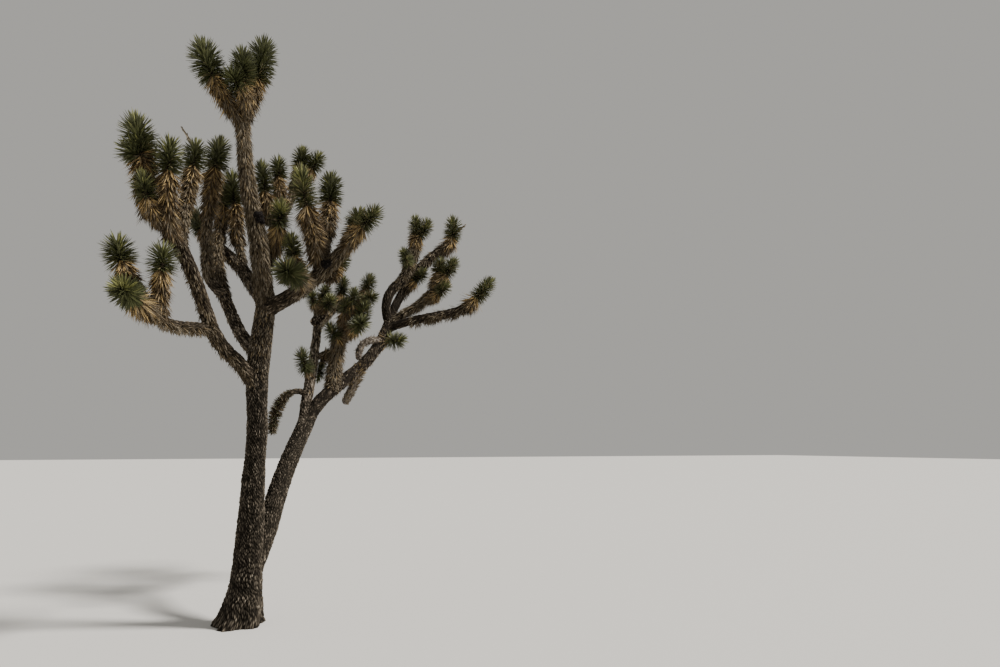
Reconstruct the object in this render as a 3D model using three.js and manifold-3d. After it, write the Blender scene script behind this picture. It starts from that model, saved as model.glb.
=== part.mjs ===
// A joshua tree: one trunk, a second stem that leans away from its foot, tapering boughs,
// and a mass of dagger leaves with a skirt of dead ones on the end of every shoot.
// Lengths are in millimetres and angles in degrees. The ground is z = 0 and +Z is up.
// A heading of 0 points to +X, 90 to +Y, 180 to -X; a rise of 90 points straight up.
import * as THREE from 'three';
import { mergeVertices } from 'three/addons/utils/BufferGeometryUtils.js';
import Module from 'manifold-3d';

const wasm = await Module();
wasm.setup();

const seatGap = 0.35;            // clear space between two pieces that meet
const massGap = 3;               // and between two masses
const seatDepth = 30;            // how far a tip's shoot starts inside the limb it grows on
const cornerTolerance = 1e-4;    // corners nearer each other than this are one corner
const weldTolerance = 0.03;      // edges shorter than this are closed up after a cut

const trunkSides = 14;
const limbSides = 8;
const shootSides = 5;
const walkSteps = 8;             // short straight steps from one ring of corners to the next
const limbStep = 170;            // length of limb between two rings of corners
const fewestLimbSteps = 3;
const shootStep = 230;           // length of a shoot's bare stem between two rings
const capMiddle = 0.5;           // corners of a unit tube nearer its axis are its caps' middles
const ringSlack = 2;             // a ring this near the foot of the live head counts as skirt

const flareWidth = 180;          // what the root flare adds to the trunk's girth at the ground
const flareHeight = 230;         // height in which the flare falls to about a third
const flareLobes = 5;
const flareLobeDepth = 0.3;      // share by which the flare's ridges stand out of it
const flareTurn = 100;

const stemGirth = 66;            // a shoot's bare stem
const stemReach = 22;            // a live leaf's tip reaches its length and this off the axis
const headShare = 0.56;          // the head's core against its reach: at its foot
const budShare = 0.28;           // and at its tip
const skirtShare = 0.6;          // core of the dead skirt at its widest, under the live leaves
const widthShare = 0.26;         // a leaf of the solid stands for a spray of thin ones
const thicknessShare = 0.1;
const deadShare = 0.85;          // a dead leaf's length against a live one's
const fewestLeaves = 10;
const zonePerLeaf = 6000;        // area of live zone, its length times a leaf's, to one leaf more
const deadSpacing = 110;         // length of skirt to one dead leaf
const mostDeadLeaves = 4;
const liveZone = 0.96;           // share of the live zone that has leaf roots, from the tip down
const deadZone = 0.9;            // and of the skirt, from its top down
const leafSink = 0.25;           // share of the core's radius where a leaf's root lies
const goldenAngle = 137.5;       // turn from one leaf to the next round a shoot
const turnJitter = 30;
const tipAngle = 14;             // angle from the shoot's axis of the youngest leaf
const lowestAngle = 112;         // and of the oldest live leaf
const openingPower = 0.8;        // below 1 the leaves open fast from the bud
const skirtTopAngle = 120;
const skirtFootAngle = 140;
const angleJitter = 12;
const shortestReach = 0.94;      // a leaf's reach against its shoot's, at least
const longestReach = 1.08;       // and at most
const guardGrowth = 12;          // a leaf that would touch a piece when this much bigger is left out

const seedPerMass = 7;           // steps between the seeds of two masses
const deadSeed = 3;              // and from a shoot's live leaves to its dead ones
const angleSeries = 500;         // where the angles start in a shoot's series of noise
const reachSeries = 900;         // and the reaches
const noiseTurn = 12.9898;
const noiseStep = 78.233;
const noiseScale = 43758.5453;

const barkColour = '#5f564d';
const deadWoodColour = '#827a72';
const foliageColour = '#68714a';
const dullness = 0.95;

// Limbs. on and at say where a limb's foot lies on its parent's axis; heading, rise and girth
// are even steps from foot to tip, between which the values run straight.
const limbs = [
  { name: 'trunk', length: 2990, heading: [0, 0], rise: [80, 89, 90, 88, 95, 86, 86],
    girth: [250, 245, 225, 190, 188, 205, 180] },
  { name: 'leader', on: 'trunk', at: 1, length: 2000, heading: [160, 159, 162, 156, 156],
    rise: [78, 81, 75, 82, 83], girth: [165, 155, 140, 125, 112] },
  { name: 'left_bough', on: 'trunk', at: 0.71, length: 1660, heading: [208, 214, 222, 215, 201],
    rise: [60, 33, 65, 63, 51], girth: [132, 126, 120, 112] },
  { name: 'left_arm', on: 'left_bough', at: 0.45, length: 630, heading: [215, 227, 235],
    rise: [-8, -4, 28], girth: [88, 80] },
  { name: 'inner_left_bough', on: 'trunk', at: 0.82, length: 830, heading: [143, 140, 148],
    rise: [37, 57, 68], girth: [124, 112] },
  { name: 'inner_left_branch', on: 'inner_left_bough', at: 1, length: 940,
    heading: [202, 183, 111, 91], rise: [24, 83, 86, 80], girth: [98, 84] },
  { name: 'back_left_bough', on: 'trunk', at: 0.985, length: 1300, heading: [125, 119, 131, 149],
    rise: [45, 45, 37, 35], girth: [124, 112, 98] },
  { name: 'right_bough', on: 'trunk', at: 0.975, length: 1020, heading: [320, 328, 324],
    rise: [17, 36, 47], girth: [156, 136, 114] },
  { name: 'back_right_bough', on: 'leader', at: 0.13, length: 1210, heading: [81, 76, 75],
    rise: [43, 49, 64], girth: [102, 88] },
  { name: 'second_stem', on: 'trunk', at: 0.135, length: 1870, heading: [36, 68, 65, 59],
    rise: [60, 58, 46, 47], girth: [205, 192, 182, 170] },
  { name: 'second_stem_left_bough', on: 'second_stem', at: 0.94, length: 1430,
    heading: [87, 69, 70, 73], rise: [58, 66, 73, 74], girth: [132, 115, 92] },
  { name: 'second_stem_right_bough', on: 'second_stem', at: 1, length: 1930,
    heading: [46, 34, 36, 38, 48], rise: [56, 37, 34, 51, 61], girth: [152, 146, 134] },
  { name: 'column_bough', on: 'second_stem_right_bough', at: 0.27, length: 680,
    heading: [62, 48], rise: [76, 82], girth: [138, 150, 142] },
  { name: 'upper_left_arm', on: 'second_stem_right_bough', at: 0.985, length: 1220,
    heading: [186, 34, 5, 33, 33], rise: [70, 77, 41, 73, 68], girth: [104, 132, 156] },
  { name: 'upper_middle_arm', on: 'second_stem_right_bough', at: 0.99, length: 1540,
    heading: [56, 30, 24, 7], rise: [62, 55, 52, 37], girth: [104, 124, 112] },
  { name: 'upper_right_arm', on: 'second_stem_right_bough', at: 0.96, length: 770,
    heading: [8, -8, -11], rise: [44, 31, 56], girth: [100, 122] },
  { name: 'far_right_arm', on: 'second_stem_right_bough', at: 0.93, length: 1140,
    heading: [345, 341, 338, 347], rise: [24, 13, 9, 36], girth: [100, 112, 120, 104] },
  { name: 'crossing_branch', on: 'second_stem_left_bough', at: 0.62, length: 220,
    heading: [10, 5], rise: [32, 26], girth: [66, 58] },
  { name: 'drooping_dead_limb', on: 'second_stem_left_bough', at: 0.29, length: 790,
    heading: [218, 222, 218], rise: [30, -25, -66, -93], girth: [70, 54, 46], dead: true },
  { name: 'curled_dead_limb', on: 'second_stem_right_bough', at: 0.81, length: 550,
    heading: [225, 210, 205], rise: [15, -29, -111], girth: [92, 84, 74], dead: true },
  { name: 'hanging_dead_limb', on: 'second_stem_right_bough', at: 0.54, length: 510,
    heading: [242, 218, 185], rise: [-54, -67, -59], girth: [100, 94, 84], dead: true },
];

// Foliage masses. Each is one shoot, or a shoot with forks, that grows on from its limb. green is
// the length of axis with live leaves, skirt the length under it that keeps its dead ones, and
// leaf the length of a live leaf. A fork starts on the mass's first shoot.
const masses = [
  { name: 'foliage_top_left', on: 'leader', at: 1, length: 780, heading: [191, 189, 194],
    rise: [51, 53, 72], green: 270, skirt: 460, leaf: 156 },
  { name: 'foliage_top_right', on: 'leader', at: 1, length: 930, heading: [38, 32, 26],
    rise: [73, 78, 84], green: 380, skirt: 410, leaf: 150 },
  { name: 'foliage_top_front', on: 'leader', at: 0.99, length: 650, heading: [290, 240, 216],
    rise: [58, 79, 82], green: 250, skirt: 280, leaf: 120,
    forks: [{ at: 0.42, length: 195, heading: [215, 215], rise: [30, 52], green: 120, skirt: 60 }] },
  { name: 'foliage_left_high', on: 'left_bough', at: 1, length: 1070, heading: [166, 179, 182],
    rise: [38, 83, 72], green: 280, skirt: 480, leaf: 142,
    forks: [{ at: 0.73, length: 100, heading: [165, 165], rise: [20, 40], green: 75, skirt: 15 }] },
  { name: 'foliage_left_middle', on: 'left_bough', at: 1, length: 770, heading: [217, 242, 267],
    rise: [70, 85, 82], green: 200, skirt: 560, leaf: 120 },
  { name: 'foliage_left_front', on: 'left_bough', at: 0.99, length: 540, heading: [205, 195, 185],
    rise: [35, 60, 80], green: 170, skirt: 200, leaf: 90 },
  { name: 'foliage_left_inner', on: 'left_bough', at: 0.9, length: 1170, heading: [99, 84, 53],
    rise: [58, 72, 88], green: 200, skirt: 420, leaf: 100 },
  { name: 'foliage_inner_left', on: 'inner_left_branch', at: 1, length: 745,
    heading: [54, 37, 25], rise: [87, 85, 80], green: 250, skirt: 460, leaf: 122 },
  { name: 'foliage_inner_back', on: 'inner_left_bough', at: 0.97, length: 1320,
    heading: [124, 92, 64], rise: [54, 72, 88], green: 170, skirt: 350, leaf: 90 },
  { name: 'foliage_far_left', on: 'left_arm', at: 1, length: 700, heading: [168, 152, 180],
    rise: [52, 52, 77], green: 140, skirt: 240, leaf: 124 },
  { name: 'foliage_arm_middle', on: 'left_arm', at: 0.81, length: 570, heading: [250, 273, 266],
    rise: [58, 75, 93], green: 140, skirt: 340, leaf: 116 },
  { name: 'foliage_arm_tip', on: 'left_arm', at: 1, length: 450, heading: [235, 251],
    rise: [19, 13], green: 150, skirt: 230, leaf: 112 },
  { name: 'foliage_back_left', on: 'back_left_bough', at: 1, length: 370, heading: [144, 144],
    rise: [48, 56], green: 190, skirt: 110, leaf: 112 },
  { name: 'foliage_centre_back', on: 'back_left_bough', at: 0.46, length: 1140,
    heading: [104, 135, 187], rise: [50, 80, 80], green: 280, skirt: 400, leaf: 118 },
  { name: 'foliage_behind_leader', on: 'back_right_bough', at: 0.67, length: 850,
    heading: [138, 151, 181], rise: [69, 74, 83], green: 280, skirt: 330, leaf: 102 },
  { name: 'foliage_right_back', on: 'back_right_bough', at: 1, length: 670,
    heading: [105, 132, 161], rise: [79, 78, 86], green: 170, skirt: 330, leaf: 96 },
  { name: 'foliage_right_back_pair', on: 'back_right_bough', at: 1, length: 950,
    heading: [46, 55, 57], rise: [59, 67, 87], green: 150, skirt: 300, leaf: 106,
    forks: [{ at: 0.5, length: 440, heading: [350, 338], rise: [48, 66], green: 140, skirt: 180 }] },
  { name: 'foliage_centre_front', on: 'back_right_bough', at: 0.42, length: 550,
    heading: [281, 285, 277], rise: [24, 51, 88], green: 180, skirt: 220, leaf: 110 },
  { name: 'foliage_right_inner', on: 'right_bough', at: 0.38, length: 690, heading: [85, 105, 134],
    rise: [50, 57, 82], green: 190, skirt: 220, leaf: 95 },
  { name: 'foliage_right_high', on: 'right_bough', at: 0.65, length: 1000, heading: [191, 180, 179],
    rise: [83, 73, 80], green: 320, skirt: 500, leaf: 115 },
  { name: 'foliage_right_middle', on: 'right_bough', at: 0.72, length: 1120,
    heading: [86, 77, 86], rise: [56, 71, 84], green: 240, skirt: 340, leaf: 118 },
  { name: 'foliage_right_shoot', on: 'right_bough', at: 0.55, length: 490, heading: [245, 236, 232],
    rise: [-10, -4, 7], green: 160, skirt: 120, leaf: 125 },
  { name: 'foliage_right_end', on: 'right_bough', at: 1, length: 475, heading: [333, 340, 345],
    rise: [54, 51, 52], green: 180, skirt: 260, leaf: 102,
    forks: [{ at: 0.08, length: 460, heading: [62, 40], rise: [50, 68], green: 160, skirt: 180 }] },
  { name: 'foliage_right_low', on: 'right_bough', at: 0.62, length: 690, heading: [57, 63, 50],
    rise: [14, 26, 61], green: 170, skirt: 260, leaf: 85 },
  { name: 'foliage_second_left_top', on: 'second_stem_left_bough', at: 1, length: 430,
    heading: [76, 13], rise: [77, 72], green: 130, skirt: 90, leaf: 82,
    forks: [{ at: 0.12, length: 270, heading: [305, 320], rise: [40, 56], green: 110, skirt: 20 },
      { at: 0.12, length: 290, heading: [212, 200], rise: [60, 74], green: 120, skirt: 20 }] },
  { name: 'foliage_second_left_side', on: 'second_stem_left_bough', at: 0.92, length: 740,
    heading: [38, 23, 31], rise: [44, 55, 93], green: 170, skirt: 180, leaf: 90 },
  { name: 'foliage_column_top', on: 'column_bough', at: 1, length: 885, heading: [19, 21, 8],
    rise: [57, 62, 74], green: 130, skirt: 320, leaf: 92,
    forks: [{ at: 0.64, length: 160, heading: [330, 330], rise: [12, 24], green: 100, skirt: 30 }] },
  { name: 'foliage_column_middle', on: 'column_bough', at: 1, length: 580,
    heading: [306, 310, 330], rise: [68, 63, 81], green: 120, skirt: 240, leaf: 88,
    forks: [{ at: 0.2, length: 330, heading: [270, 300], rise: [58, 78], green: 110, skirt: 120 }] },
  { name: 'foliage_column_front', on: 'column_bough', at: 0.83, length: 560,
    heading: [328, 329, 352], rise: [44, 53, 67], green: 150, skirt: 200, leaf: 108,
    forks: [{ at: 0.45, length: 210, heading: [296, 306], rise: [8, 26], green: 110, skirt: 40 },
      { at: 0.12, length: 200, heading: [196, 188], rise: [28, 62], green: 120, skirt: 50 }] },
  { name: 'foliage_second_left_low', on: 'second_stem_left_bough', at: 0.45, length: 320,
    heading: [239, 213], rise: [32, 78], green: 200, skirt: 60, leaf: 92 },
  { name: 'foliage_second_left_hanging', on: 'crossing_branch', at: 1, length: 310,
    heading: [172, 150], rise: [-58, -84], green: 140, skirt: 140, leaf: 80 },
  { name: 'foliage_second_knee', on: 'second_stem_right_bough', at: 0.86, length: 240,
    heading: [341, 324], rise: [-39, 14], green: 140, skirt: 30, leaf: 112 },
  { name: 'foliage_upper_left', on: 'upper_left_arm', at: 1, length: 450, heading: [16, 14],
    rise: [77, 96], green: 230, skirt: 170, leaf: 102,
    forks: [{ at: 0.42, length: 270, heading: [338, 345], rise: [38, 72], green: 190, skirt: 50 }] },
  { name: 'foliage_upper_left_low', on: 'upper_left_arm', at: 0.77, length: 240,
    heading: [248, 220], rise: [20, 58], green: 160, skirt: 40, leaf: 92 },
  { name: 'foliage_upper_middle_low', on: 'upper_middle_arm', at: 0.45, length: 270,
    heading: [326, 341], rise: [26, 52], green: 140, skirt: 80, leaf: 98 },
  { name: 'foliage_upper_middle', on: 'upper_middle_arm', at: 1, length: 500, heading: [3, 1, 1],
    rise: [29, 70, 100], green: 230, skirt: 200, leaf: 125 },
  { name: 'foliage_upper_right', on: 'upper_right_arm', at: 1, length: 530,
    heading: [349, 352, 353], rise: [48, 58, 61], green: 200, skirt: 200, leaf: 104,
    forks: [{ at: 0.07, length: 480, heading: [42, 56], rise: [56, 74], green: 140, skirt: 200 }] },
  { name: 'foliage_upper_right_low', on: 'upper_right_arm', at: 0.83, length: 340,
    heading: [306, 350], rise: [-4, 64], green: 140, skirt: 120, leaf: 92 },
  { name: 'foliage_far_right', on: 'far_right_arm', at: 1, length: 430, heading: [345, 355],
    rise: [40, 57], green: 280, skirt: 110, leaf: 112 },
];

function mix(a, b, share) {
  return a + (b - a) * share;
}

// The value at a share of the way along evenly spaced values
function along(values, share) {
  const place = THREE.MathUtils.clamp(share, 0, 1) * (values.length - 1);
  const step = Math.min(Math.floor(place), values.length - 2);
  return mix(values[step], values[step + 1], place - step);
}

// A repeatable number from 0 to 1 for a seed and an index
function noise(seed, index) {
  const wave = Math.sin(seed * noiseTurn + index * noiseStep) * noiseScale;
  return wave - Math.floor(wave);
}

function direction(heading, rise) {
  const turn = THREE.MathUtils.degToRad(heading);
  const lift = THREE.MathUtils.degToRad(rise);
  const flat = Math.cos(lift);
  return new THREE.Vector3(flat * Math.cos(turn), flat * Math.sin(turn), Math.sin(lift));
}

// The axis of a limb: points and directions at the given shares of its length, found by walking
// along it in short steps. Two cross directions are carried along it without twisting.
function traceAxis(foot, spec, shares) {
  const points = [foot.clone()];
  for (let step = 1; step < shares.length; step += 1) {
    const span = (shares[step] - shares[step - 1]) / walkSteps;
    const point = points[step - 1].clone();
    for (let part = 0; part < walkSteps; part += 1) {
      const share = shares[step - 1] + (part + 0.5) * span;
      const heading = direction(along(spec.heading, share), along(spec.rise, share));
      point.addScaledVector(heading, spec.length * span);
    }
    points.push(point);
  }
  const tangents = points.map((point, step) => {
    const before = points[Math.max(step - 1, 0)];
    const after = points[Math.min(step + 1, points.length - 1)];
    return after.clone().sub(before).normalize();
  });
  const across = [new THREE.Vector3(0, 1, 0).cross(tangents[0]).normalize()];
  for (let step = 1; step < points.length; step += 1) {
    const carried = across[step - 1].clone();
    carried.addScaledVector(tangents[step], -carried.dot(tangents[step])).normalize();
    across.push(carried);
  }
  return { shares, points, tangents, across, length: spec.length };
}

// The place at a share of the way along an axis, with its direction and cross directions
function placeOn(axis, share) {
  let step = 0;
  while (step < axis.shares.length - 2 && axis.shares[step + 1] < share) step += 1;
  const rest = (share - axis.shares[step]) / (axis.shares[step + 1] - axis.shares[step]);
  const point = axis.points[step].clone().lerp(axis.points[step + 1], rest);
  const tangent = axis.tangents[step].clone().lerp(axis.tangents[step + 1], rest).normalize();
  const across = axis.across[step].clone().lerp(axis.across[step + 1], rest);
  across.addScaledVector(tangent, -across.dot(tangent)).normalize();
  return { point, tangent, across, up: tangent.clone().cross(across) };
}

// A closed mesh made into a solid that can be joined and cut
function solidFrom(geometry) {
  geometry.deleteAttribute('normal');
  geometry.deleteAttribute('uv');
  const welded = mergeVertices(geometry, cornerTolerance);
  return new wasm.Manifold(new wasm.Mesh({
    numProp: 3,
    vertProperties: new Float32Array(welded.attributes.position.array),
    triVerts: new Uint32Array(welded.index.array),
  }));
}

// A cylinder of unit size bent along an axis. radiusAt gives its radius for a share of the
// length and a turn about the axis; grow makes every face stand out by that much.
function bentTube(axis, sides, radiusAt, grow = 0, level = false) {
  const rings = axis.shares.length - 1;
  const tube = new THREE.CylinderGeometry(1, 1, 1, sides, rings);
  const corners = tube.attributes.position;
  for (let index = 0; index < corners.count; index += 1) {
    const ring = Math.round((corners.getY(index) + 0.5) * rings);
    const share = axis.shares[ring];
    const reach = Math.hypot(corners.getX(index), corners.getZ(index));
    const turn = Math.atan2(corners.getZ(index), corners.getX(index));
    const place = placeOn(axis, share);
    const radius = reach < capMiddle ? 0 : radiusAt(share, turn) + grow;
    const across = level ? new THREE.Vector3(1, 0, 0) : place.across;
    const up = level ? new THREE.Vector3(0, 1, 0) : place.up;
    const corner = place.point.clone();
    corner.addScaledVector(across, radius * Math.cos(turn));
    corner.addScaledVector(up, -radius * Math.sin(turn));
    if (ring === 0 && !level) corner.addScaledVector(place.tangent, -grow);
    if (ring === rings) corner.addScaledVector(place.tangent, grow);
    corners.setXYZ(index, corner.x, corner.y, corner.z);
  }
  return solidFrom(tube);
}

// The trunk's radius: its tapering girth and, low down, a root flare with blunt ridges
function trunkRadius(axis, girth) {
  return (share, turn) => {
    const flare = (flareWidth / 2) * Math.exp((-share * axis.length) / flareHeight);
    const lobes = Math.cos(flareLobes * turn + THREE.MathUtils.degToRad(flareTurn));
    return along(girth, share) / 2 + flare * (1 + flareLobeDepth * lobes);
  };
}

// A shoot's radius: a slim stem, a skirt that widens up to the live leaves, then the head's core
function shootRadius(shoot, share) {
  const reach = shoot.leaf + stemReach;
  const toTip = (1 - share) * shoot.length;
  const live = toTip < shoot.green - ringSlack;
  if (live) return reach * mix(budShare, headShare, toTip / shoot.green);
  const down = (toTip - shoot.green) / shoot.skirt;
  return down < 1 ? mix(reach * skirtShare, stemGirth / 2, down) : stemGirth / 2;
}

// Shares of a shoot's length where it has rings of corners: even steps up the bare stem, the
// skirt's middle and top, the live head's middle and its tip
function shootShares(shoot) {
  const skirtFoot = 1 - (shoot.green + shoot.skirt) / shoot.length;
  const skirtTop = 1 - shoot.green / shoot.length;
  const count = Math.max(1, Math.round((skirtFoot * shoot.length) / shootStep));
  const shares = [];
  for (let step = 0; step <= count; step += 1) shares.push((skirtFoot * step) / count);
  shares.push(mix(skirtFoot, skirtTop, 0.5), skirtTop, mix(skirtTop, 1, 0.5), 1);
  return shares;
}

// A three-sided dagger: its root at a point, its flat face across its direction
function dagger(root, heading, side, length, width, thickness) {
  const spike = new THREE.ConeGeometry(1, 1, 3, 1);
  const normal = heading.clone().cross(side).normalize();
  const corners = spike.attributes.position;
  for (let index = 0; index < corners.count; index += 1) {
    const corner = root.clone();
    corner.addScaledVector(side, (corners.getX(index) * width) / 2);
    corner.addScaledVector(normal, (-corners.getZ(index) * thickness) / 2);
    corner.addScaledVector(heading, (corners.getY(index) + 0.5) * length);
    corners.setXYZ(index, corner.x, corner.y, corner.z);
  }
  return solidFrom(spike);
}

function boxesMeet(first, second) {
  return [0, 1, 2].every((k) => first.min[k] < second.max[k] && second.min[k] < first.max[k]);
}

// The one body that counts after a cut: loose scraps and sealed hollows are left out
function largestBody(solid) {
  const pieces = solid.decompose();
  return pieces.reduce((best, piece) => (piece.volume() > best.volume() ? piece : best));
}

// Every piece made so far: its solid, its shape grown by the gap that others keep, and its shoots
const placed = [];

function cutClear(solid, others) {
  let cut = solid;
  for (const other of others) {
    if (boxesMeet(cut.boundingBox(), other.grown.boundingBox())) cut = cut.subtract(other.grown);
  }
  return largestBody(cut);
}

const axes = {};

// Where a piece's foot lies. One that carries on from a limb's tip starts a little inside it.
function footOf(spec) {
  const parent = axes[spec.on];
  const share = Math.min(spec.at, 1 - seatDepth / parent.length);
  return placeOn(parent, share).point;
}

function growLimb(spec) {
  const foot = spec.on ? footOf(spec) : new THREE.Vector3();
  const count = Math.max(fewestLimbSteps, Math.round(spec.length / limbStep));
  const shares = Array.from({ length: count + 1 }, (_, step) => step / count);
  const axis = traceAxis(foot, spec, shares);
  const level = !spec.on;
  const sides = level ? trunkSides : limbSides;
  const radiusAt = level ? trunkRadius(axis, spec.girth) : (share) => along(spec.girth, share) / 2;
  const solid = cutClear(bentTube(axis, sides, radiusAt, 0, level), placed);
  axes[spec.name] = axis;
  placed.push({ name: spec.name, solid, grown: bentTube(axis, sides, radiusAt, seatGap, level) });
}

// The shoots of one mass: the first grows on the limb, the forks on the first
function shootsOf(mass) {
  const axis = traceAxis(footOf(mass), mass, shootShares(mass));
  const forks = (mass.forks ?? []).map((fork) => {
    const foot = placeOn(axis, fork.at).point;
    return { ...fork, leaf: mass.leaf, axis: traceAxis(foot, fork, shootShares(fork)) };
  });
  return [{ ...mass, axis }, ...forks];
}

// A mass before its leaves: the bare cores of its shoots, joined
function growCore(mass) {
  const shoots = shootsOf(mass);
  const join = (grow) => wasm.Manifold.union(shoots.map((shoot) => (
    bentTube(shoot.axis, shootSides, (share) => shootRadius(shoot, share), grow)
  )));
  placed.push({ name: mass.name, solid: join(0), grown: join(massGap), shoots });
}

// One leaf for a share of the live head or of the skirt. Turns go round by the golden angle, and
// the angle from the axis opens from the bud to the oldest leaf, as the dead ones hang back.
function leafAt(shoot, seed, index, count, live) {
  const part = (index + 0.5) / count;
  const toTip = live ? part * liveZone * shoot.green : shoot.green + part * deadZone * shoot.skirt;
  const share = 1 - toTip / shoot.length;
  const place = placeOn(shoot.axis, share);
  const turn = THREE.MathUtils.degToRad(index * goldenAngle + noise(seed, index) * turnJitter);
  const liveOpen = mix(tipAngle, lowestAngle, part ** openingPower);
  const open = live ? liveOpen : mix(skirtTopAngle, skirtFootAngle, part);
  const swing = (noise(seed, index + angleSeries) - 0.5) * angleJitter;
  const angle = THREE.MathUtils.degToRad(open + swing);
  const out = place.across.clone().multiplyScalar(Math.cos(turn));
  out.addScaledVector(place.up, Math.sin(turn));
  const heading = place.tangent.clone().multiplyScalar(Math.cos(angle));
  heading.addScaledVector(out, Math.sin(angle));
  const side = place.tangent.clone().cross(out).normalize();
  const sunk = shootRadius(shoot, share) * leafSink;
  const root = place.point.clone().addScaledVector(out, sunk);
  const spread = mix(shortestReach, longestReach, noise(seed, index + reachSeries));
  const reach = (shoot.leaf + stemReach) * spread;
  const length = (live ? reach : reach * deadShare) - sunk;
  const width = shoot.leaf * widthShare;
  const thickness = shoot.leaf * thicknessShare;
  const grown = [length, width, thickness].map((size) => size + guardGrowth);
  return {
    solid: dagger(root, heading, side, length, width, thickness),
    guard: dagger(root, heading, side, ...grown),
  };
}

// The leaves of a mass that touch no other piece, fused to its cores. The joined solid is then
// cut clear of the limbs and of the masses made before it.
function growLeaves(entry, seed) {
  const others = placed.filter((other) => other !== entry);
  const leaves = [];
  entry.shoots.forEach((shoot, number) => {
    const live = fewestLeaves + Math.round((shoot.green * shoot.leaf) / zonePerLeaf);
    const dead = Math.min(mostDeadLeaves, Math.round(shoot.skirt / deadSpacing));
    const wanted = [];
    for (let index = 0; index < live; index += 1) wanted.push([index, live, true]);
    for (let index = 0; index < dead; index += 1) wanted.push([index, dead, false]);
    for (const [index, count, green] of wanted) {
      const series = seed * seedPerMass + number + (green ? 0 : deadSeed);
      const leaf = leafAt(shoot, series, index, count, green);
      const box = leaf.guard.boundingBox();
      const touches = others.some((other) => boxesMeet(box, other.solid.boundingBox())
        && !leaf.guard.intersect(other.solid).isEmpty());
      if (!touches) leaves.push(leaf.solid);
    }
  });
  const joined = wasm.Manifold.union([entry.solid, ...leaves]);
  entry.solid = cutClear(joined, placed.slice(0, placed.indexOf(entry)));
}

function meshFrom(entry, colour) {
  const { vertProperties, triVerts } = entry.solid.simplify(weldTolerance).getMesh();
  const geometry = new THREE.BufferGeometry();
  geometry.setAttribute('position', new THREE.BufferAttribute(new Float32Array(vertProperties), 3));
  geometry.setIndex(new THREE.BufferAttribute(new Uint32Array(triVerts), 1));
  geometry.computeVertexNormals();
  const finish = new THREE.MeshStandardMaterial({ color: colour, roughness: dullness, metalness: 0 });
  const mesh = new THREE.Mesh(geometry, finish);
  mesh.name = entry.name;
  return mesh;
}

limbs.forEach(growLimb);
masses.forEach(growCore);
const foliage = placed.filter((entry) => entry.shoots);
foliage.forEach((entry, number) => growLeaves(entry, number + 1));

const joshuaTree = new THREE.Group();
joshuaTree.name = 'joshua_tree';
for (const entry of placed) {
  const limb = limbs.find((spec) => spec.name === entry.name);
  const woodColour = limb?.dead ? deadWoodColour : barkColour;
  joshuaTree.add(meshFrom(entry, limb ? woodColour : foliageColour));
}

export default joshuaTree;
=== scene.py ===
import bpy
import math
import numpy as np
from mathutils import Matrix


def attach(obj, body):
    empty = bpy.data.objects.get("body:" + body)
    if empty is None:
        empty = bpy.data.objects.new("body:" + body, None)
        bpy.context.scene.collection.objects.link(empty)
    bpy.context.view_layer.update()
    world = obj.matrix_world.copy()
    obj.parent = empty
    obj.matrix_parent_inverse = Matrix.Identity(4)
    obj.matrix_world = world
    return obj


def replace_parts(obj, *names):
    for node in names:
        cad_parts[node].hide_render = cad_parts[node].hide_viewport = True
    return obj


# A joshua tree: bark with its relief over the trunk and limbs, a thatch of old leaves on the upper
# ones, and heads of green daggers over skirts of dead ones. Growth tables are in millimetres and
# degrees, as the part's own are; meshes are in metres. +X is to the right, +Y away, +Z up.
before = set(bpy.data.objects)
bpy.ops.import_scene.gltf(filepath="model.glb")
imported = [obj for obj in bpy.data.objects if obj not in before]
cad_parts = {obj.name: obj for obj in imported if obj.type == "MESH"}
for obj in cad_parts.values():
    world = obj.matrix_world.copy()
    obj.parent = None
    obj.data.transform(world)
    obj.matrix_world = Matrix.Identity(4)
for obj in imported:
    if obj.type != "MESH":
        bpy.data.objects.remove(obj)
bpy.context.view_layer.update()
mm = 0.001

# Camera, light and floor
view = dict(eye=(0, -6.8, 1.6), turn=20.35, tilt=9.5, lens=24, sensor=36)
cameraData = bpy.data.cameras.new("camera")
cameraData.lens, cameraData.sensor_width = view["lens"], view["sensor"]
camera = bpy.data.objects.new("camera", cameraData)
camera.location = view["eye"]
camera.rotation_euler = (math.radians(90 + view["tilt"]), 0, -math.radians(view["turn"]))
bpy.context.collection.objects.link(camera)
bpy.context.scene.camera = camera

studio = dict(sky=(0.88, 0.86, 0.81), skyStrength=0.48, sun=(1.0, 0.96, 0.90), sunStrength=5.7,
              sunSoftness=10, sunRise=48, sunHeading=-20, floor=(0.62, 0.61, 0.59), floorReach=80,
              floorRoughness=0.9, floorBelow=0.001)
world = bpy.data.worlds.new("studio")
bpy.context.scene.world = world
world.use_nodes = True
world.node_tree.nodes["Background"].inputs[0].default_value = (*studio["sky"], 1)
world.node_tree.nodes["Background"].inputs[1].default_value = studio["skyStrength"]
sunData = bpy.data.lights.new("sun", "SUN")
sunData.energy, sunData.color = studio["sunStrength"], studio["sun"]
sunData.angle = math.radians(studio["sunSoftness"])
sun = bpy.data.objects.new("sun", sunData)
sun.rotation_euler = (math.radians(90 - studio["sunRise"]), 0, math.radians(90 + studio["sunHeading"]))
bpy.context.collection.objects.link(sun)
print("camera and light stand")


# A plain material, with its nodes, links and shader: the rougher it is, the less it shines
def makeMaterial(name, roughness):
    material = bpy.data.materials.new(name)
    material.use_nodes = True
    shader = material.node_tree.nodes["Principled BSDF"]
    shader.inputs["Roughness"].default_value = roughness
    shader.inputs["Specular IOR Level"].default_value = 0.5 * (1 - roughness) ** 0.5
    return material, material.node_tree.nodes, material.node_tree.links, shader


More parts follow.
